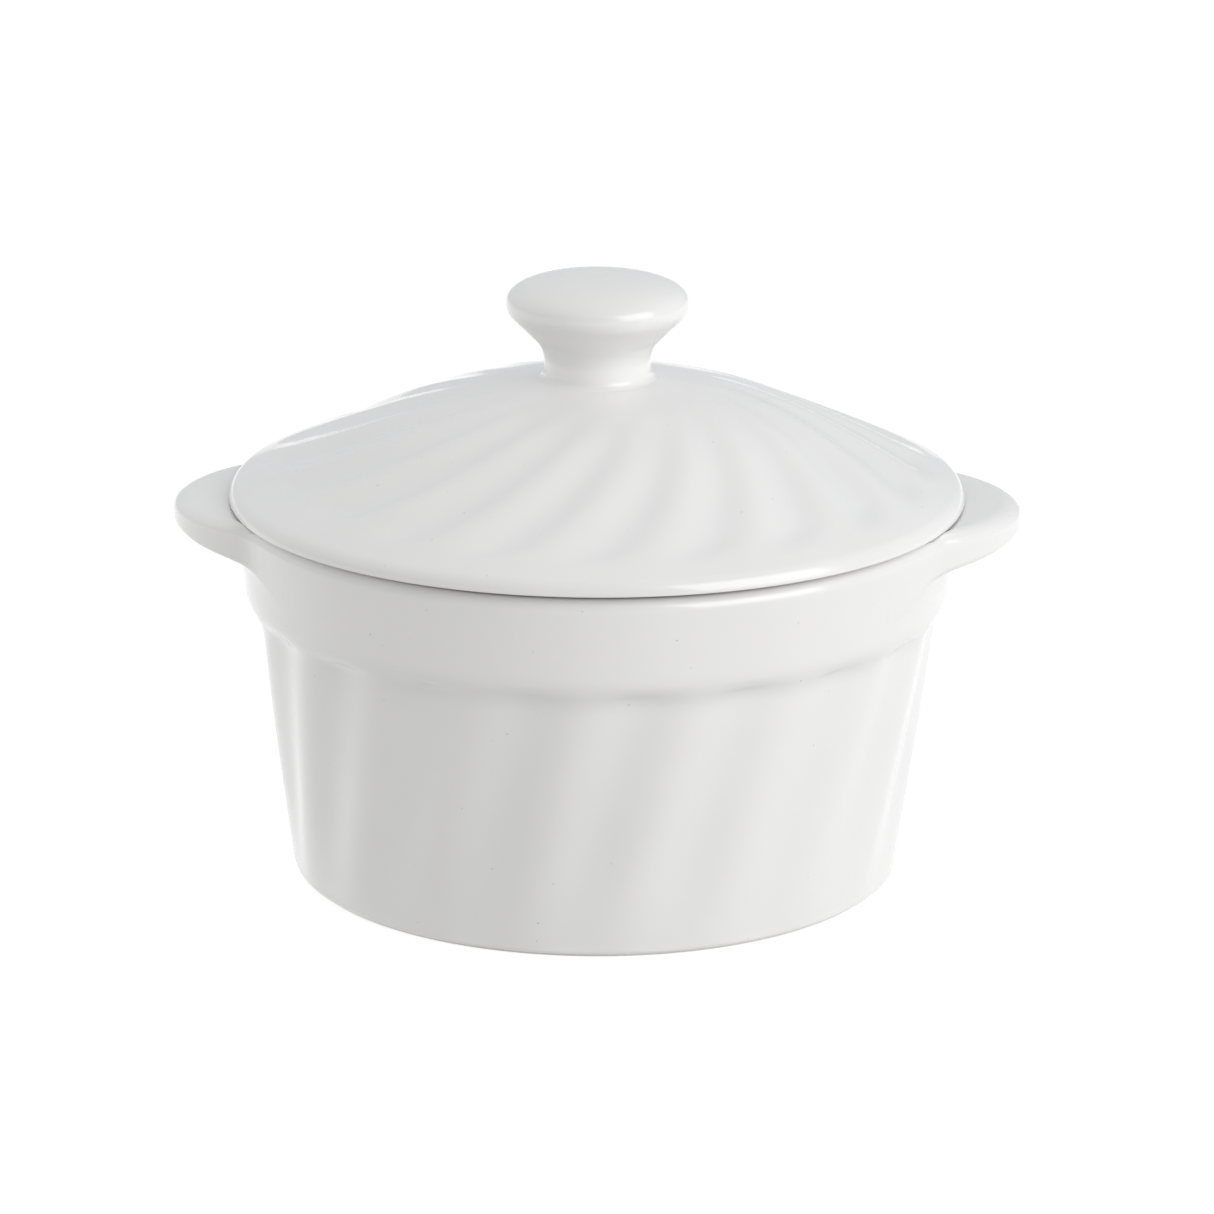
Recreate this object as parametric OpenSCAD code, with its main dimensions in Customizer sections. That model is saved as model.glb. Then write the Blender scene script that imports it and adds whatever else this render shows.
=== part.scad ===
// Small round covered casserole dish in glazed stoneware.
// The dish has a plain collar over a swirl-fluted wall, and two solid lug handles.
// The lid is a swirl-fluted dome with a button knob, and drops into the mouth of the dish.
// Origin: middle of the foot, on the table. +Z up, lugs on the X axis, front towards -Y.

/* [Dish] */
// Outer radius of the collar at the rim
collar_r = 61.4; // [60.6:0.1:64]
// Height of the dish rim above the table
rim_z = 64.1; // [60:0.1:80]
// Height of the step between the collar and the fluted wall
step_z = 46.6; // [40:0.1:50]
// Outer radius of the fluted wall just under the collar
wall_top_r = 58.3; // [56:0.1:58.5]
// Outer radius of the fluted wall at the table
wall_foot_r = 52; // [48:0.1:54]
// Inner radius of the mouth at the rim
mouth_r = 57.1; // [56.4:0.1:57.6]
// Thickness of the fluted wall at its top
wall_t = 4.4; // [3.6:0.1:5]
// Thickness of the floor inside the foot
floor_t = 4; // [3:0.1:6]

/* [Foot] */
// Outer radius of the unglazed foot ring
foot_r = 51; // [47:0.1:51]
// Width of the foot ring
foot_w = 5.5; // [3:0.1:8]
// Height of the foot ring under the glaze
foot_h = 0.5; // [0.4:0.1:1.5]

/* [Lid] */
// Outer radius of the lid
lid_r = 62.5; // [62:0.1:64]
// Height of the top of the dome above the rim of the dish
dome_h = 22.1; // [21.2:0.1:26]
// Radius of curvature of the crown of the dome
crown_r = 93; // [90:1:100]
// Radius at which the crown runs out into a straight cone
cone_start_r = 38; // [34:1:40]
// Thickness of the lid
lid_t = 4.2; // [3:0.1:5]
// Clearance under the lid where it rests on the rim
seat_gap = 0.1; // [0.05:0.01:0.3]

/* [Locating ring] */
// Outer radius of the ring that drops into the mouth
ring_r = 55.9; // [54:0.1:56]
// Thickness of the ring
ring_t = 3.6; // [2.5:0.1:4]
// Depth of the ring below the seat
ring_h = 5; // [3:0.1:8]

/* [Knob] */
// Radius of the knob at its widest
knob_r = 15.5; // [13:0.1:17]
// Radius of the neck of the knob
neck_r = 9.1; // [8:0.1:9.4]
// Radius of the knob where it stands on the dome
knob_foot_r = 10.2; // [9.8:0.1:11]
// Height of the knob above the dome
knob_h = 17.7; // [16:0.1:20]

/* [Lug handles] */
// Distance of each lug's tip from the middle of the dish
lug_tip_x = 72; // [70:0.1:74]
// Radius of a lug in plan
lug_r = 23.5; // [21:0.1:26]
// Height of the raised outer edge of a lug above the table
lug_top_z = 64.9; // [63.9:0.1:65]
// Thickness of a lug at its tip
lug_tip_t = 4.3; // [2.5:0.1:4.5]
// Radius of the soft top edge of a lug
lug_edge_r = 2; // [0.5:0.1:2.5]
// Rise of a lug's sloping underside for each millimetre outward
lug_slope = 0.25; // [0.2:0.05:0.5]
// Clearance round the lid where it passes over the lugs
lid_margin = 0.8; // [0.5:0.1:1.5]

/* [Flutes] */
// Number of flutes round the dish and round the lid
flutes = 20; // [16:1:24]
// Depth of a flute on the wall of the dish
wall_flute_d = 1; // [0.4:0.1:1.5]
// Depth of a flute on the lid
lid_flute_d = 0.9; // [0.4:0.1:1.5]
// Turn of a wall flute for each millimetre of height, in degrees
wall_swirl = 0.28; // [0:0.01:0.6]
// Turn of a lid flute for each millimetre of radius, in degrees
lid_swirl = 0.77; // [0:0.01:1]

/* [Hidden] */

glaze = "whitesmoke";
bisque = "antiquewhite";

facets_per_flute = 6;
columns = flutes * facets_per_flute;
round_fn = 120;

// Heights that several parts share
seat_z = rim_z + seat_gap;
dome_top_z = rim_z + dome_h;
knob_foot_z = dome_z(knob_foot_r);
running_gap = 0.05;

// Points of a circular arc in a profile, from angle a0 to a1, as [radius, height]
function arc(centre, r, a0, a1, steps) =
    [for (i = [0 : steps]) centre + r * [cos(a0 + (a1 - a0) * i / steps),
                                         sin(a0 + (a1 - a0) * i / steps)]];

// Arc that rounds the corner b of the path a, b, c, no larger than the sides allow
function fillet(a, b, c, r, steps) =
    let (u = (a - b) / norm(a - b),
         v = (c - b) / norm(c - b),
         half = acos(u * v) / 2,
         cut = min(r / tan(half), 0.48 * norm(a - b), 0.48 * norm(c - b)),
         centre = b + (u + v) / norm(u + v) * cut / cos(half),
         p = b + u * cut - centre,
         q = b + v * cut - centre,
         start = atan2(p[1], p[0]),
         sweep = (atan2(q[1], q[0]) - start + 540) % 360 - 180)
    arc(centre, norm(p), start, start + sweep, steps);

// Smooth ramp from 0 at a to 1 at b
function ramp(x, a, b) = let (t = max(0, min(1, (x - a) / (b - a)))) t * t * (3 - 2 * t);

// Depth of the scallop at an angle: 0 on a ridge, 1 in the middle of a flute
function scallop(angle) = (1 + cos(flutes * angle)) / 2;

// A ring of a swirled lathe is [radius, height, flute depth, turn].
// The flute is cut towards the axis on a wall, and downwards on a lid.
function wall_point(ring, a) =
    let (r = ring[0] - ring[2] * scallop(a), t = a + ring[3])
    [r * cos(t), r * sin(t), ring[1]];
function lid_point(ring, a) =
    let (t = a + ring[3])
    [ring[0] * cos(t), ring[0] * sin(t), ring[1] - ring[2] * scallop(a)];

// Closed solid from rings that run from the underside, round the outside, to the inside
module lathe(points, ring_count, first_point, last_point) {
    n = columns;
    all_points = concat(points, [first_point, last_point]);
    sides = [for (j = [0 : ring_count - 2], i = [0 : n - 1])
             let (a = j * n + i, b = j * n + (i + 1) % n)
             each [[a, b + n, b], [a, a + n, b + n]]];
    start_cap = [for (i = [0 : n - 1]) [i, (i + 1) % n, ring_count * n]];
    end_cap = [for (i = [0 : n - 1])
               let (base = (ring_count - 1) * n)
               [base + (i + 1) % n, base + i, ring_count * n + 1]];
    polyhedron(all_points, concat(sides, start_cap, end_cap));
}

// ---- Dish ----

wall_slope = (wall_top_r - wall_foot_r) / step_z;
function wall_r(z) = wall_foot_r + wall_slope * z;

corner_r = 1;
corner_end_angle = -22;
foot_recess = 1.4;
glaze_z = foot_h;

// Step from the wall out to the collar: a soft slope, rounded at both ends
step_drop = 1.2;
step_rise = 2.2;
step_soft_r = 8;
collar_taper = 1.5;
wall_corner = [wall_r(step_z - step_drop), step_z - step_drop];
collar_corner = [collar_r - collar_taper, step_z + step_rise];
step_outline = concat(
    fillet([wall_foot_r, 0], wall_corner, collar_corner, step_soft_r, 4),
    fillet(wall_corner, collar_corner, [collar_r, rim_z], step_soft_r, 4));

// Collar outline: the step, then a plain face, and a lip that rolls over at the rim
collar_lip_r = 1.8;
collar_lip = arc([collar_r - collar_lip_r, rim_z - collar_lip_r], collar_lip_r, 0, 90, 4);
collar_outline = concat(step_outline, collar_lip);

// Inside of the dish, from the rim down past the seat of the ring to the middle of the floor
mouth_lip_r = 0.9;
mouth_draft = 1.2;
inside_step = 4;
floor_z = glaze_z + foot_recess + floor_t;
floor_corner_r = 9;
inside_low_r = wall_r(floor_z + floor_corner_r) - wall_t;
inside_outline = concat(
    arc([mouth_r + mouth_lip_r, rim_z - mouth_lip_r], mouth_lip_r, 90, 170, 3),
    [[mouth_r - mouth_draft, step_z + inside_step],
     [wall_top_r - wall_t, step_z - inside_step]],
    arc([inside_low_r - floor_corner_r, floor_z + floor_corner_r], floor_corner_r, 0, -90, 5));

// Flutes deepen up the wall and run out on the step
wall_steps = 12;
wall_low_z = glaze_z + corner_r;
wall_high_z = step_outline[0][1] - 0.2;
flute_low_z = -8;
flute_full_z = 22;
flute_end_fade = 2.8;
flute_end_z = step_z + step_rise;
wall_swirl_zero_z = 13.3;
function fluted_ring(p) =
    let (depth = wall_flute_d * ramp(p[1], flute_low_z, flute_full_z)
                 * (1 - ramp(p[1], flute_end_z - flute_end_fade, flute_end_z)))
    [p[0], p[1], depth, wall_swirl * (p[1] - wall_swirl_zero_z)];
wall_rings = [for (i = [0 : wall_steps])
    let (z = wall_low_z + (wall_high_z - wall_low_z) * i / wall_steps)
    fluted_ring([wall_r(z), z])];
step_rings = [for (p = step_outline) fluted_ring(p)];
low_turn = wall_rings[0][3];
high_turn = step_rings[len(step_rings) - 1][3];
function plain_rings(outline, turn) = [for (p = outline) [p[0], p[1], 0, turn]];

foot_inner_r = foot_r - foot_w;
bowl_rings = concat(
    plain_rings([[foot_inner_r - 1, glaze_z + foot_recess], [foot_inner_r, glaze_z]], low_turn),
    plain_rings(arc([wall_r(wall_low_z) - corner_r, wall_low_z],
                    corner_r, -90, corner_end_angle, 3), low_turn),
    wall_rings,
    step_rings,
    plain_rings(collar_lip, high_turn),
    plain_rings(inside_outline, high_turn));

module dish_bowl() {
    points = [for (ring = bowl_rings, i = [0 : columns - 1]) wall_point(ring, 360 * i / columns)];
    color(glaze)
        lathe(points, len(bowl_rings), [0, 0, glaze_z + foot_recess], [0, 0, floor_z]);
}

module foot_ring() {
    color(bisque)
        rotate_extrude($fn = round_fn)
            translate([foot_inner_r, 0])
                square([foot_w, foot_h]);
}

// ---- Lug handles ----

lug_root_angle = 25;
lug_recess = 0.3;

// Space taken by the collar, which each lug is luted to
module collar_space() {
    low = collar_outline[0];
    rotate_extrude($fn = round_fn)
        polygon(concat([[0, low[1]]], collar_outline, [[0, rim_z]]));
}

// Upright disc that gives a lug its plan, with a soft edge round the top
module lug_plan() {
    rotate_extrude($fn = round_fn)
        polygon(concat(
            [[0, 0], [lug_r, 0]],
            arc([lug_r - lug_edge_r, lug_top_z - lug_edge_r], lug_edge_r, 0, 90, 6),
            [[0, lug_top_z]]));
}

// Section of a lug, with an underside that slopes down from the tip to the collar
module lug_section() {
    root_r = collar_corner[0] * cos(lug_root_angle);
    tip_z = lug_top_z - lug_tip_t;
    rotate_extrude($fn = round_fn)
        polygon([[root_r, lug_top_z], [root_r, tip_z - lug_slope * (lug_tip_x - root_r)],
                 [lug_tip_x, tip_z], [lug_tip_x, lug_top_z]]);
}

// Room for the edge of the lid over the inner part of each lug
module lid_space() {
    translate([0, 0, rim_z - lug_recess])
        cylinder(r = lid_r + lid_margin, h = lug_top_z, $fn = round_fn);
}

module lug() {
    difference() {
        intersection() {
            translate([lug_tip_x - lug_r, 0, 0]) lug_plan();
            lug_section();
        }
        collar_space();
        lid_space();
    }
}

module right_lug_handle() {
    color(glaze) lug();
}

module left_lug_handle() {
    color(glaze) rotate([0, 0, 180]) lug();
}

// ---- Lid ----

cone_angle = asin(cone_start_r / crown_r);
cone_start_z = dome_top_z - crown_r * (1 - cos(cone_angle));
function dome_z(r) = r < cone_start_r
    ? dome_top_z - crown_r + sqrt(crown_r * crown_r - r * r)
    : cone_start_z - tan(cone_angle) * (r - cone_start_r);

// Edge of the lid: a bevelled underside, a crisp lower corner and a full roll up to the dome
bevel_w = 3.6;
edge_low_in = 0.2;
edge_high_r = 2.8;
border_r = lid_r - edge_high_r * (1 - sin(cone_angle));
border_z = dome_z(border_r);
edge_mid_z = border_z - edge_high_r * cos(cone_angle);
bevel_h = min(1, edge_mid_z - seat_z);

// Flutes start outside the knob, and fade out into a plain border
lid_steps = 16;
flute_in_r = 16;
flute_in_fade = 30;
flute_out_r = 59;
flute_out_fade = 7;
lid_swirl_zero_r = 34.5;
lid_top_rings = [for (i = [lid_steps : -1 : 0])
    let (r = knob_foot_r + (flute_out_r - knob_foot_r) * i / lid_steps,
         depth = lid_flute_d * ramp(r, flute_in_r, flute_in_r + flute_in_fade)
                 * (1 - ramp(r, flute_out_r - flute_out_fade, flute_out_r)))
    [r, dome_z(r), depth, -lid_swirl * (r - lid_swirl_zero_r)]];
edge_turn = lid_top_rings[0][3];

// Underside of the dome inside the locating ring, and the rounded corner down to the seat
ring_lap = 0.6;
hollow_r = ring_r - ring_t - ring_lap;
hollow_z = dome_z(hollow_r) - lid_t;
underside_outline = concat(
    [for (share = [0.2 : 0.2 : 0.8]) [hollow_r * share, dome_z(hollow_r * share) - lid_t]],
    [[hollow_r - 2, hollow_z], [hollow_r - 0.4, hollow_z - 1.4], [hollow_r, seat_z]]);

lid_rings = concat(
    plain_rings(underside_outline, edge_turn),
    plain_rings([[lid_r - bevel_w, seat_z], [lid_r - edge_low_in, seat_z + bevel_h]], edge_turn),
    plain_rings(arc([lid_r - edge_high_r, edge_mid_z], edge_high_r, 0, 90 - cone_angle, 4), edge_turn),
    lid_top_rings);

module lid_dome() {
    points = [for (ring = lid_rings, i = [0 : columns - 1]) lid_point(ring, 360 * i / columns)];
    color(glaze)
        lathe(points, len(lid_rings), [0, 0, dome_top_z - lid_t], [0, 0, knob_foot_z]);
}

module lid_locating_ring() {
    top_z = seat_z - running_gap;
    low_z = seat_z - ring_h;
    soft_r = 1;
    draft = 0.3;
    color(glaze)
        rotate_extrude($fn = round_fn)
            polygon(concat(
                [[ring_r, top_z], [ring_r - ring_t, top_z]],
                arc([ring_r - ring_t + soft_r, low_z + soft_r], soft_r, 180, 270, 4),
                arc([ring_r - draft - soft_r, low_z + soft_r], soft_r, 270, 360, 4)));
}

// Half outline of the knob: flared foot, hollow waist, straight flank, rounded brim, oval crown.
// The flank is the line that touches both the arc of the waist and the arc of the brim.
waist_r = 5.2;
waist_z = 3.1;
brim_r = 3.4;
brim_z = 13;
flare_h = 1.6;
flare_mid = 0.7;
crown_fullness = 0.85;
waist_centre = [neck_r + waist_r, knob_foot_z + waist_z];
brim_centre = [knob_r - brim_r, knob_foot_z + brim_z];
centre_line = brim_centre - waist_centre;
flank_angle = atan2(centre_line[1], centre_line[0]) - asin((waist_r + brim_r) / norm(centre_line));

module knob_outline() {
    z0 = knob_foot_z;
    foot_flare = [[knob_foot_r, z0], [knob_foot_r - flare_mid, z0 + flare_mid],
                  [neck_r + running_gap, z0 + flare_h]];
    waist = arc(waist_centre, waist_r, 180, 90 + flank_angle, 4);
    brim = arc(brim_centre, brim_r, flank_angle - 90, 0, 4);
    crown = [for (a = [12 : 13 : 90])
             [knob_r * pow(cos(a), crown_fullness),
              brim_centre[1] + (knob_h - brim_z) * pow(sin(a), crown_fullness)]];
    polygon(concat([[0, z0]], foot_flare, waist, brim, crown));
}

module lid_knob() {
    color(glaze)
        rotate_extrude($fn = round_fn)
            knob_outline();
}

dish_bowl();
foot_ring();
left_lug_handle();
right_lug_handle();
lid_dome();
lid_locating_ring();
lid_knob();
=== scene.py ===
"""Small covered casserole dish in white glaze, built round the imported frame.

Metres, +Z up, the lug handles on the X axis, the front towards -Y.
"""
import math

import bpy
import numpy as np
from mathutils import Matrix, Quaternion, Vector


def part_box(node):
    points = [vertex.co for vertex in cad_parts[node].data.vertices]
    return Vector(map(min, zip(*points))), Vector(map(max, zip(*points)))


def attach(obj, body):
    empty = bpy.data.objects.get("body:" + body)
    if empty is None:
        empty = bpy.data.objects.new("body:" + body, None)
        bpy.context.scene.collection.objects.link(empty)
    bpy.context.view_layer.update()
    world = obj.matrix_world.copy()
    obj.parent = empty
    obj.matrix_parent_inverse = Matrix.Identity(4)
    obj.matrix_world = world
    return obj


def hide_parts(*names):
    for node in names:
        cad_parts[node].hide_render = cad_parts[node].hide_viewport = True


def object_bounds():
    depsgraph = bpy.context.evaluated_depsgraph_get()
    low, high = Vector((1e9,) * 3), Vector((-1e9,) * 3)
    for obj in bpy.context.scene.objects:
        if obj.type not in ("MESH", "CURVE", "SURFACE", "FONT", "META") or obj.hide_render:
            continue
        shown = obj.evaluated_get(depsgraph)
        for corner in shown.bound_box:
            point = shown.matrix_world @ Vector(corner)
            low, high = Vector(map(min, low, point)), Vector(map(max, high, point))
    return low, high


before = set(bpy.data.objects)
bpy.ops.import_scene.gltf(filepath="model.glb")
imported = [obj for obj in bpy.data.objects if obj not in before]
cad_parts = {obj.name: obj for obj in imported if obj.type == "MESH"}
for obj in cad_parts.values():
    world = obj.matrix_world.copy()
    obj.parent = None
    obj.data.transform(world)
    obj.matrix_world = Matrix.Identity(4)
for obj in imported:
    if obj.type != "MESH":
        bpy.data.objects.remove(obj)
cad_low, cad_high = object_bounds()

MM = 0.001

# ---- Sizes that the frame gives ----

bowl_low, bowl_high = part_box("dish_bowl")
_, foot_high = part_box("foot_ring")
_, lug_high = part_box("right_lug_handle")
dome_low, dome_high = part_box("lid_dome")
ring_low, ring_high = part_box("lid_locating_ring")
knob_low, knob_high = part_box("lid_knob")

middle = (cad_low + cad_high) / 2
rim_z = bowl_high.z
glaze_z = bowl_low.z
collar_r = bowl_high.x
foot_r = foot_high.x
lug_tip_x = lug_high.x
lug_top_z = lug_high.z
lid_r = dome_high.x
seat_z = dome_low.z
knob_foot_z = knob_low.z
knob_r = knob_high.x

# ---- Sizes of the dish ----

step_z = rim_z - 17.5 * MM
wall_top_r = collar_r - 3.1 * MM
wall_foot_r = collar_r - 9.4 * MM
wall_t = 4.2 * MM
mouth_r = collar_r - 4.3 * MM
lip_round = 1.8 * MM
floor_z = glaze_z + 5.4 * MM
foot_in_r = foot_r - 5.5 * MM
wall_flute_depth = 1 * MM
wall_swirl = math.radians(0.28) / MM
wall_swirl_zero_z = 13.3 * MM

# ---- Sizes of the lid ----

crown_r = 93 * MM
crown_top_z = knob_foot_z + 0.57 * MM
cone_start_r = 38 * MM
cone_slope = math.tan(math.asin(cone_start_r / crown_r))
lid_t = 4.2 * MM
lid_flute_depth = 0.9 * MM
lid_flutes_begin = (16 * MM, 46 * MM)
lid_flutes_end = (52 * MM, 59 * MM)
lid_swirl = -math.radians(0.77) / MM
lid_swirl_zero_r = 34.5 * MM
lid_edge_r = 2.8 * MM
lid_border_r = lid_r - lid_edge_r * (1 - cone_start_r / crown_r)

# ---- Fineness of the meshes ----

FLUTES = 20
COLUMNS = FLUTES * 18
OUTLINE_STEP = 0.7 * MM
ROUNDING_STEP = math.radians(9)
ARC_STEP_DEGREES = 5


# ---- Outlines and solids of revolution ----

def ramp(x, low, high):
    """Smooth step from 0 at low to 1 at high."""
    t = np.clip((np.asarray(x, float) - low) / (high - low), 0, 1)
    return t * t * (3 - 2 * t)


def rounded(corners, step=OUTLINE_STEP):
    """Points along an open outline of (radius, height, corner rounding).

    A rounding that is too large for the sides next to it is made smaller.
    """
    points = [np.array(corners[0][:2])]

    def line_to(end):
        start = points[-1]
        count = max(1, math.ceil(np.linalg.norm(end - start) / step))
        points.extend(start + (end - start) * k / count for k in range(1, count + 1))

    for before, here, after in zip(corners, corners[1:], corners[2:]):
        corner = np.array(here[:2])
        into = corner - np.array(before[:2])
        out = np.array(after[:2]) - corner
        room = min(np.linalg.norm(into), np.linalg.norm(out)) / 2
        into, out = into / np.linalg.norm(into), out / np.linalg.norm(out)
        turn = math.atan2(into[0] * out[1] - into[1] * out[0], into @ out)
        if here[2] == 0 or abs(turn) < 1e-6:
            line_to(corner)
            continue
        cut = min(here[2] * math.tan(abs(turn) / 2), room)
        radius = cut / math.tan(abs(turn) / 2)
        line_to(corner - into * cut)
        side = np.array([-into[1], into[0]]) * math.copysign(1, turn)
        centre = points[-1] + side * radius
        count = max(2, math.ceil(abs(turn) / ROUNDING_STEP))
        x, y = points[-1] - centre
        for k in range(1, count + 1):
            c, s = math.cos(turn * k / count), math.sin(turn * k / count)
            points.append(centre + np.array([c * x - s * y, s * x + c * y]))
    line_to(np.array(corners[-1][:2]))
    return np.array(points)


def arc(centre, radius, start, end):
    """Corners along an arc, without any rounding of their own. Angles are in degrees."""
    count = math.ceil(abs(end - start) / ARC_STEP_DEGREES) + 1
    angles = np.radians(np.linspace(start, end, count))
    return [(centre[0] + radius * math.cos(a), centre[1] + radius * math.sin(a), 0)
            for a in angles]


def mesh_object(name, points, faces, pooling=None):
    """A smooth-shaded object. pooling is how deep the glaze lies at each point, from 0 to 1."""
    mesh = bpy.data.meshes.new(name)
    mesh.from_pydata(np.asarray(points).tolist(), [], faces)
    mesh.shade_smooth()
    glaze_depth = mesh.attributes.new("glaze_depth", "FLOAT", "POINT")
    depths = np.zeros(len(points)) if pooling is None else pooling
    glaze_depth.data.foreach_set("value", np.asarray(depths, dtype=np.float32))
    made = bpy.data.objects.new(name, mesh)
    bpy.context.scene.collection.objects.link(made)
    return made


def lathe(name, outline, cut_r=0.0, cut_z=0.0, turn=0.0):
    """A closed solid of revolution whose outline starts and ends on the axis.

    cut_r and cut_z say how far the middle of a flute is cut in and down at each point of the
    outline, and turn is the angle that the flutes have swirled by there.
    """
    rings = outline[1:-1]
    count = len(rings)
    r, z = rings[:, :1], rings[:, 1:]
    cut_in, cut_down, swirl = [
        np.broadcast_to(np.asarray(value, float), (len(outline),))[1:-1, None]
        for value in (cut_r, cut_z, turn)]
    angle = np.linspace(0, 2 * math.pi, COLUMNS, endpoint=False)
    scallop = (1 + np.cos(FLUTES * angle)) / 2
    radius = r - cut_in * scallop
    height = z - cut_down * scallop
    points = np.stack([radius * np.cos(angle + swirl), radius * np.sin(angle + swirl), height],
                      axis=-1)
    depth = np.hypot(cut_in, cut_down)
    pooling = scallop * depth / max(depth.max(), 1e-9)
    poles = [[0, 0, outline[0, 1]], [0, 0, outline[-1, 1]]]
    points = np.vstack([points.reshape(-1, 3), poles])
    pooling = np.append(pooling.ravel(), [0, 0])
    first_pole, last_pole = count * COLUMNS, count * COLUMNS + 1
    last_ring = (count - 1) * COLUMNS
    faces = []
    for i in range(COLUMNS):
        k = (i + 1) % COLUMNS
        for j in range(count - 1):
            a, b = j * COLUMNS, (j + 1) * COLUMNS
            faces.append((a + i, a + k, b + k, b + i))
        faces.append((first_pole, k, i))
        faces.append((last_pole, last_ring + i, last_ring + k))
    return mesh_object(name, points, faces, pooling)


def ring_solid(name, section):
    """A ring from a closed section of (radius, height) points."""
    angle = np.linspace(0, 2 * math.pi, COLUMNS // 2, endpoint=False)[:, None]
    r, z = section[:, 0], section[:, 1]
    points = np.stack([r * np.cos(angle), r * np.sin(angle), z + 0 * angle], axis=-1)
    around, count = points.shape[:2]
    faces = [(i * count + j, ((i + 1) % around) * count + j,
              ((i + 1) % around) * count + (j + 1) % count, i * count + (j + 1) % count)
             for i in range(around) for j in range(count)]
    return mesh_object(name, points.reshape(-1, 3), faces)


# ---- Dish ----

def wall_r(z):
    """Radius of the wall between its flutes."""
    return wall_foot_r + (wall_top_r - wall_foot_r) * z / step_z


def collar_corners():
    """From the top of the wall, over the soft step and up the collar to its rolled lip."""
    wall_end_z = step_z - 1.2 * MM
    return [(wall_r(wall_end_z), wall_end_z, 8 * MM),
            (collar_r - 1.5 * MM, step_z + 2.2 * MM, 8 * MM),
            (collar_r, rim_z, lip_round)]


def make_dish_bowl():
    """The glazed dish, with flutes that deepen up the wall and run out on the step."""
    recess_z = glaze_z + 1.4 * MM
    inner_low_r = wall_r(15 * MM) - 6 * MM
    outline = rounded([
        (0, recess_z, 0),
        (foot_in_r - 1 * MM, recess_z, 0.8 * MM),
        (foot_in_r - 0.2 * MM, glaze_z, 0.2 * MM),
        (wall_r(glaze_z), glaze_z, 1 * MM),
        *collar_corners(),
        (mouth_r, rim_z, 1.2 * MM),
        (mouth_r - 1.4 * MM, step_z + 4 * MM, 14 * MM),
        (wall_top_r - wall_t, step_z - 5 * MM, 14 * MM),
        (inner_low_r, floor_z, 9 * MM),
        (0, floor_z, 0)])
    r, z = outline.T
    rim_at = int(np.argmax(z))
    outside = (np.arange(len(z)) < rim_at) & (r > foot_in_r)
    cut = wall_flute_depth * ramp(z, -8 * MM, 22 * MM) * ramp(z, glaze_z, glaze_z + 1.2 * MM)
    cut = cut * (1 - ramp(z, step_z - 0.6 * MM, step_z + 2.2 * MM))
    turn = wall_swirl * (np.clip(z, 0, step_z + 2 * MM) - wall_swirl_zero_z)
    turn[rim_at:] = turn[rim_at]
    return lathe("glazed_dish", outline, cut_r=cut * outside, turn=turn)


def make_foot_ring():
    """The low ring of bare clay, which ends flush with the glaze."""
    soft = 0.3 * MM
    seam_r = foot_in_r + 1 * MM
    section = rounded([
        (seam_r, foot_high.z, 0), (foot_in_r, foot_high.z, 0), (foot_in_r, 0, soft),
        (foot_r, 0, soft), (foot_r, foot_high.z, 0), (seam_r, foot_high.z, 0)])
    return ring_solid("unglazed_foot", section[:-1])


# ---- Lug handles ----

def soft_min(a, b, width):
    """The smaller of a and b, with a fillet where they are less than width apart."""
    near = np.maximum(width - np.abs(a - b), 0) / width
    return np.minimum(a, b) - near ** 2 * width / 4


def stand_off(face, skin, fillet):
    """face where it stands well proud of skin, and skin where it falls behind."""
    reach = face - skin
    return skin + (reach + np.sqrt(reach ** 2 + fillet ** 2)) / 2


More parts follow.
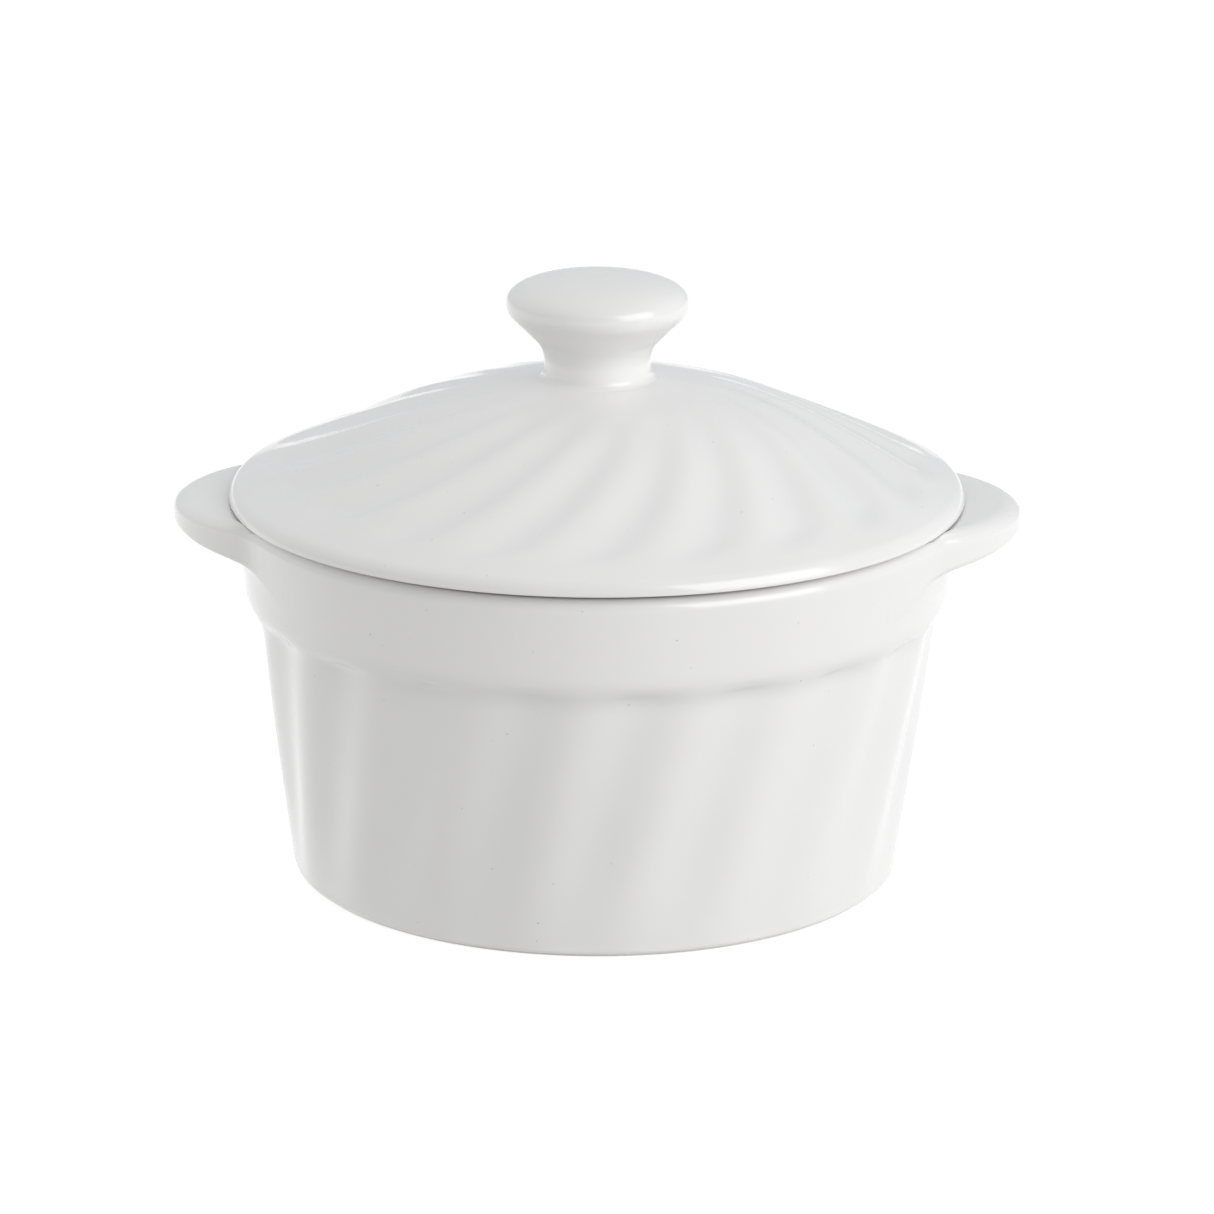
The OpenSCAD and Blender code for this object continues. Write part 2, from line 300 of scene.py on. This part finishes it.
def make_lug(name, side):
    """A solid ledge whose plan is an arc, blended into the collar along its root.

    Its outer face is a radius for each angle and height. Its top falls from the outer edge to
    the lip of the collar, and its underside rises towards both ends of the root.
    """
    half_angle = math.radians(36)
    plan_r = 23.5 * MM
    plan_x = lug_tip_x - plan_r
    arc_end = math.radians(22)
    fall_per_radian = 73 * MM
    inner_top_z = rim_z - 0.1 * MM
    low_z = step_z + 3 * MM
    tip_z = lug_top_z - 4.4 * MM
    under_slope = 0.25
    under_blend = 3.4 * MM
    root_lift = 1.4 * MM
    edge_w, edge_h = 3.6 * MM, 2 * MM
    root_fillet = 3.6 * MM
    sink = 0.18 * MM
    embed = 1.6 * MM

    def plan_at(angle):
        """An arc out to arc_end, and a straight fall from there to the collar."""
        bent = np.minimum(np.abs(angle), arc_end)
        arc_out = plan_x * np.cos(bent) + np.sqrt(plan_r ** 2 - (plan_x * np.sin(bent)) ** 2)
        return arc_out - fall_per_radian * (np.abs(angle) - bent)

    def top_at(radius):
        """Height of the top, from the lip of the collar to just outside the lid."""
        over_lip = ramp(radius, collar_r - lip_round, lid_r + 0.5 * MM)
        return inner_top_z + (lug_top_z - inner_top_z) * over_lip

    def place(radius, z):
        return np.stack([radius * np.cos(angle) * side, radius * np.sin(angle) * side,
                         z + 0 * angle], axis=-1)

    collar = rounded([(wall_foot_r, 0, 0), *collar_corners(), (mouth_r, rim_z, 0)], 0.3 * MM)
    rising = collar[: int(np.argmax(collar[:, 1])) + 1]

    angle = np.linspace(-half_angle, half_angle, 121)[:, None]
    plan = plan_at(angle)
    top = top_at(plan)
    straight = np.linspace(0, 1, 44)[:-1]
    bend = np.linspace(0, math.pi / 2, 14)
    height = np.concatenate([low_z + (top - edge_h - low_z) * straight,
                             top - edge_h * (1 - np.sin(bend))], axis=1)
    skin = np.interp(height, rising[:, 1], rising[:, 0])

    root_rise = root_lift * ramp(np.abs(angle), math.radians(10), math.radians(26))
    under = (lug_tip_x - (tip_z - height + root_rise) / under_slope) / np.cos(angle)
    face = soft_min(plan, under, under_blend)
    rise = np.clip((height - (top - edge_h)) / edge_h, 0, 1)
    face = face - edge_w * (1 - np.sqrt(1 - rise ** 2)) * ramp(face - skin, 0, edge_w * 2)
    face = stand_off(face, skin, root_fillet) - sink

    inner = skin.min() - embed
    inward = np.linspace(0, 1, 30)[1:]
    top_r = face[:, -1:] + (inner - face[:, -1:]) * inward
    back_z = np.linspace(inner_top_z, low_z, 8)[1:]
    section = np.concatenate([place(face, height),
                              place(top_r, np.minimum(top_at(top_r), top)),
                              place(inner + 0 * back_z, back_z)], axis=1)
    rows, count = section.shape[:2]
    faces = [(i * count + j, (i + 1) * count + j, (i + 1) * count + (j + 1) % count,
              i * count + (j + 1) % count) for i in range(rows - 1) for j in range(count)]
    faces.append(tuple(reversed(range(count))))
    faces.append(tuple((rows - 1) * count + j for j in range(count)))
    return mesh_object(name, section.reshape(-1, 3), faces)


# ---- Lid ----

def dome_z(r):
    """Height of the top of the lid between its flutes: a crown that turns into a cone."""
    crown = crown_top_z - crown_r + np.sqrt(crown_r ** 2 - np.minimum(r, cone_start_r) ** 2)
    return crown - cone_slope * np.maximum(r - cone_start_r, 0)


def make_lid_dome():
    """The glazed lid: a plain border, a full roll at its edge, and a bevel under that."""
    knob_foot_r = 9 * MM
    hollow_r = ring_high.x - 4.2 * MM
    crown = [(r, float(dome_z(r)), 0) for r in np.linspace(lid_border_r, knob_foot_r, 70)]
    cone_angle = math.degrees(math.atan(cone_slope))
    edge_z = crown[0][1] - lid_edge_r * math.cos(math.radians(cone_angle))
    edge = arc((lid_r - lid_edge_r, edge_z), lid_edge_r, 0, 90 - cone_angle)
    hollow = [(r, float(dome_z(r)) - lid_t, 0)
              for r in np.linspace(2 * MM, hollow_r - 3 * MM, 30)]
    outline = rounded([
        (0, crown_top_z - lid_t, 0),
        *hollow,
        (hollow_r - 0.8 * MM, float(dome_z(hollow_r)) - lid_t - 0.2 * MM, 1.2 * MM),
        (hollow_r, seat_z, 0.4 * MM),
        (lid_r - 3.6 * MM, seat_z, 0.5 * MM),
        (lid_r - 0.2 * MM, seat_z + 1 * MM, 0.15 * MM),
        *edge,
        *crown[1:],
        (knob_foot_r - 0.5 * MM, knob_foot_z, 0),
        (0, knob_foot_z, 0)])
    r = outline[:, 0]
    on_top = np.arange(len(r)) > int(np.argmax(r))
    cut = lid_flute_depth * ramp(r, *lid_flutes_begin) * (1 - ramp(r, *lid_flutes_end))
    turn = lid_swirl * (np.clip(r, 10 * MM, lid_flutes_end[1]) - lid_swirl_zero_r)
    turn[~on_top] = turn[on_top][0]
    return lathe("glazed_lid", outline, cut_z=cut * on_top, turn=turn)


def make_locating_ring():
    """The ring under the lid that drops into the mouth of the dish."""
    inside = ring_high.x - 3.6 * MM
    mid = (inside + ring_high.x) / 2
    section = rounded([
        (mid, ring_high.z, 0), (inside, ring_high.z, 0.2 * MM), (inside, ring_low.z, 1.2 * MM),
        (ring_high.x - 0.3 * MM, ring_low.z, 1.2 * MM), (ring_high.x, ring_high.z, 0.2 * MM),
        (mid, ring_high.z, 0)])
    return ring_solid("glazed_locating_ring", section[:-1])


def make_knob():
    """A turned button on a hollow waist, with a small fillet where it meets the dome.

    The straight flank touches both the arc of the waist and the arc of the brim.
    """
    neck_r = 9.1 * MM
    waist_arc, waist_z = 5.2 * MM, knob_foot_z + 3.1 * MM
    brim_arc, brim_z = 3.4 * MM, knob_foot_z + 13 * MM
    across, up = knob_r - brim_arc - neck_r - waist_arc, brim_z - waist_z
    flank = math.degrees(math.atan2(up, across)
                         - math.asin((waist_arc + brim_arc) / math.hypot(across, up)))
    fullness = 0.85
    crown = [(knob_r * math.cos(a) ** fullness,
              brim_z + (knob_high.z - brim_z) * math.sin(a) ** fullness, 0)
             for a in np.radians(np.linspace(3, 89.5, 40))]
    skirt_r = 12.2 * MM
    skirt_z = float(dome_z(skirt_r))
    skirt_t = 0.6 * MM
    lift = 0.01 * MM
    outline = rounded([
        (0, knob_foot_z - skirt_t, 0),
        (skirt_r, skirt_z - skirt_t, 0),
        (skirt_r, skirt_z - lift, 0),
        (neck_r, float(dome_z(neck_r)) + lift, 1.3 * MM),
        *arc((neck_r + waist_arc, waist_z), waist_arc, 180, 90 + flank),
        *arc((knob_r - brim_arc, brim_z), brim_arc, flank - 90, 0),
        *crown,
        (0, knob_high.z, 0)], 0.4 * MM)
    return lathe("glazed_knob", outline)


# ---- Materials ----

class Nodes:
    """Short names for making and joining the nodes of one node tree."""

    def __init__(self, tree):
        self.tree = tree

    def add(self, kind, **settings):
        """A new node. Each setting is the value of a socket or of a property."""
        node = self.tree.nodes.new(kind)
        for key, value in settings.items():
            if key in node.inputs:
                node.inputs[key].default_value = value
            else:
                setattr(node, key, value)
        return node

    def feed(self, socket, value):
        """Joins an output to a socket, or sets a number or a colour on it."""
        if hasattr(value, "is_output"):
            self.tree.links.new(value, socket)
        else:
            socket.default_value = value

    def noise(self, where, scale, detail, roughness=0.5):
        node = self.add("ShaderNodeTexNoise", Scale=scale, Detail=detail, Roughness=roughness)
        self.feed(node.inputs["Vector"], where)
        return node.outputs["Fac"]

    def fit(self, value, before, after):
        """Maps the range before onto the range after, with soft ends."""
        node = self.add("ShaderNodeMapRange", interpolation_type="SMOOTHSTEP")
        for name, number in zip(("From Min", "From Max", "To Min", "To Max"),
                                (*before, *after)):
            self.feed(node.inputs[name], number)
        self.feed(node.inputs["Value"], value)
        return node.outputs["Result"]

    def multiply(self, a, b):
        node = self.add("ShaderNodeMath", operation="MULTIPLY")
        self.feed(node.inputs[0], a)
        self.feed(node.inputs[1], b)
        return node.outputs[0]

    def mix(self, amount, a, b):
        """Colour a where amount is 0, and colour b where it is 1."""
        node = self.add("ShaderNodeMix", data_type="RGBA")
        for index, value in ((0, amount), (6, a), (7, b)):
            self.feed(node.inputs[index], value)
        return node.outputs[2]

    def bump(self, height, distance, strength):
        node = self.add("ShaderNodeBump", Strength=strength, Distance=distance)
        self.feed(node.inputs["Height"], height)
        return node


def new_material(name):
    """A material, the helper for its nodes, and the sockets of its shader."""
    material = bpy.data.materials.new(name)
    material.use_nodes = True
    tree = material.node_tree
    return material, Nodes(tree), tree.nodes["Principled BSDF"].inputs


def white_glaze():
    """Off-white glaze over a pale body: it pools in the flutes and carries a few fine specks."""
    body_dark, body_light = (0.85, 0.848, 0.841, 1), (0.875, 0.873, 0.868, 1)
    pooled_colour = (0.848, 0.855, 0.848, 1)
    speck_colour = (0.21, 0.19, 0.17, 1)
    material, n, shader = new_material("white_glaze")
    where = n.add("ShaderNodeTexCoord").outputs["Object"]

    cloud = n.fit(n.noise(where, scale=28, detail=4), (0.3, 0.7), (0, 1))
    body = n.mix(cloud, body_dark, body_light)
    pooled = n.add("ShaderNodeAttribute", attribute_name="glaze_depth").outputs["Fac"]
    body = n.mix(n.multiply(pooled, 0.5), body, pooled_colour)

    cells = n.add("ShaderNodeTexVoronoi", Scale=400, Randomness=1)
    n.feed(cells.inputs["Vector"], where)
    spot = n.fit(cells.outputs["Distance"], (0.03, 0.07), (1, 0))
    pick = n.add("ShaderNodeSeparateColor")
    n.feed(pick.inputs[0], cells.outputs["Color"])
    chosen = n.fit(pick.outputs[0], (0.45, 0.98), (0, 0.5))
    speck = n.multiply(spot, chosen)
    n.feed(shader["Base Color"], n.mix(speck, body, speck_colour))

    unevenness = n.noise(where, scale=60, detail=3)
    n.feed(shader["Roughness"], n.fit(unevenness, (0.3, 0.7), (0.13, 0.2)))

    ripple = n.bump(n.noise(where, scale=170, detail=2), distance=0.00006, strength=0.5)
    pits = n.bump(speck, distance=0.00005, strength=0.6)
    n.feed(pits.inputs["Normal"], ripple.outputs["Normal"])
    n.feed(shader["Normal"], pits.outputs["Normal"])
    shader["IOR"].default_value = 1.5
    shader["Coat Weight"].default_value = 0.4
    shader["Coat Roughness"].default_value = 0.06
    return material


def unglazed_foot():
    """Bare fired clay: matt, slightly sandy, and greyed where it has rubbed on a table."""
    clay_dark, clay_light = (0.76, 0.745, 0.72, 1), (0.82, 0.81, 0.79, 1)
    grain_colour = (0.62, 0.6, 0.57, 1)
    material, n, shader = new_material("unglazed_foot")
    where = n.add("ShaderNodeTexCoord").outputs["Object"]
    grain = n.noise(where, scale=1500, detail=4, roughness=0.7)
    patch = n.fit(n.noise(where, scale=90, detail=4), (0.35, 0.65), (0, 1))
    body = n.mix(patch, clay_dark, clay_light)
    body = n.mix(n.fit(grain, (0.35, 0.6), (0.25, 0)), body, grain_colour)
    n.feed(shader["Base Color"], body)
    n.feed(shader["Roughness"], n.fit(grain, (0.3, 0.7), (0.75, 0.95)))
    sand = n.bump(grain, distance=0.0001, strength=0.6)
    n.feed(shader["Normal"], sand.outputs["Normal"])
    return material


def floor_white():
    """Nearly white, and lit from within so that it shows no horizon."""
    material, n, shader = new_material("floor_white")
    n.feed(shader["Base Color"], (0.5, 0.5, 0.5, 1))
    n.feed(shader["Roughness"], 0.9)
    n.feed(shader["Specular IOR Level"], 0.2)
    n.feed(shader["Emission Color"], (1, 1, 1, 1))
    n.feed(shader["Emission Strength"], 0.7)
    return material


# ---- Studio ----

def towards(azimuth, elevation):
    """Direction from the dish, in degrees. Azimuth 0 is in front, and 90 is towards +X."""
    a, e = math.radians(azimuth), math.radians(elevation)
    return Vector((math.sin(a) * math.cos(e), -math.cos(a) * math.cos(e), math.sin(e)))


def make_floor():
    """A plain white surface, wide enough to fill every view."""
    half = 4.0
    mesh = bpy.data.meshes.new("floor")
    mesh.from_pydata([(-half, -half, 0), (half, -half, 0), (half, half, 0), (-half, half, 0)],
                     [], [(0, 1, 2, 3)])
    mesh.materials.append(floor_white())
    floor = bpy.data.objects.new("floor", mesh)
    bpy.context.scene.collection.objects.link(floor)
    floor.visible_diffuse = False
    floor.visible_shadow = False


def tent_world(front, back, below):
    """White walls round the dish: one level in front, one behind, and one from below.

    The level from below stands in for the light that the floor sends back up. The walls in
    front are a little warmer than the ones behind.
    """
    front_to_back = (-0.6, 0.8)
    horizon = (-0.02, 0.02)
    warm, cool = (1.005, 1, 0.985, 1), (0.99, 1, 1.03, 1)
    world = bpy.data.worlds.new("studio_tent")
    world.use_nodes = True
    bpy.context.scene.world = world
    n = Nodes(world.node_tree)
    background = world.node_tree.nodes["Background"].inputs
    direction = n.add("ShaderNodeSeparateXYZ")
    n.feed(direction.inputs[0], n.add("ShaderNodeTexCoord").outputs["Generated"])
    y, z = direction.outputs["Y"], direction.outputs["Z"]
    walls = n.fit(y, front_to_back, (front, back))
    n.feed(background["Strength"], n.fit(z, horizon, (below, walls)))
    n.feed(background["Color"], n.mix(n.fit(y, front_to_back, (0, 1)), warm, cool))


def softbox(name, azimuth, elevation, distance, size, power):
    """A square area light that faces the dish."""
    away = towards(azimuth, elevation)
    lamp = bpy.data.lights.new(name, "AREA")
    lamp.size = size
    lamp.energy = power
    made = bpy.data.objects.new(name, lamp)
    made.location = middle + away * distance
    made.rotation_euler = away.to_track_quat("Z", "Y").to_euler()
    bpy.context.scene.collection.objects.link(made)
    return made


def make_camera():
    """Looks at the dish from a little above and 2 degrees round to the right."""
    distance = 1.0
    roll = math.radians(0.25)
    aim = Vector((0.0018, 0, 0.045))
    back = towards(azimuth=1.8, elevation=16.7)
    data = bpy.data.cameras.new("camera")
    data.lens = 173.2
    camera = bpy.data.objects.new("camera", data)
    camera.location = aim + back * distance
    facing = back.to_track_quat("Z", "Y") @ Quaternion((0, 0, 1), roll)
    camera.rotation_euler = facing.to_euler()
    bpy.context.scene.collection.objects.link(camera)
    bpy.context.scene.camera = camera


# ---- Scene ----

glaze = white_glaze()
clay = unglazed_foot()

pieces = [
    (make_dish_bowl(), "dish_bowl", "dish", glaze, "white_glaze"),
    (make_foot_ring(), "foot_ring", "dish", clay, "unglazed_foot"),
    (make_lug("glazed_right_lug", 1), "right_lug_handle", "dish", glaze, "white_glaze"),
    (make_lug("glazed_left_lug", -1), "left_lug_handle", "dish", glaze, "white_glaze"),
    (make_locating_ring(), "lid_locating_ring", "lid_seat", glaze, "white_glaze"),
    (make_lid_dome(), "lid_dome", "lid", glaze, "white_glaze"),
    (make_knob(), "lid_knob", "lid", glaze, "white_glaze"),
]
for piece, node, body, material, slot in pieces:
    piece.data.materials.append(material)
    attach(piece, body)
    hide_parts(node)

for name, cad_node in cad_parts.items():
    for material_slot in cad_node.material_slots:
        material_slot.material = clay if name == "foot_ring" else glaze

make_floor()
tent_world(front=0.48, back=0.7, below=0.53)
softbox("right_softbox", azimuth=53, elevation=24, distance=0.9, size=0.75, power=4.7)
fill = softbox("left_fill", azimuth=-98, elevation=20, distance=0.9, size=0.8, power=2.0)
fill.visible_glossy = False
make_camera()
bpy.context.scene.view_settings.view_transform = "Standard"
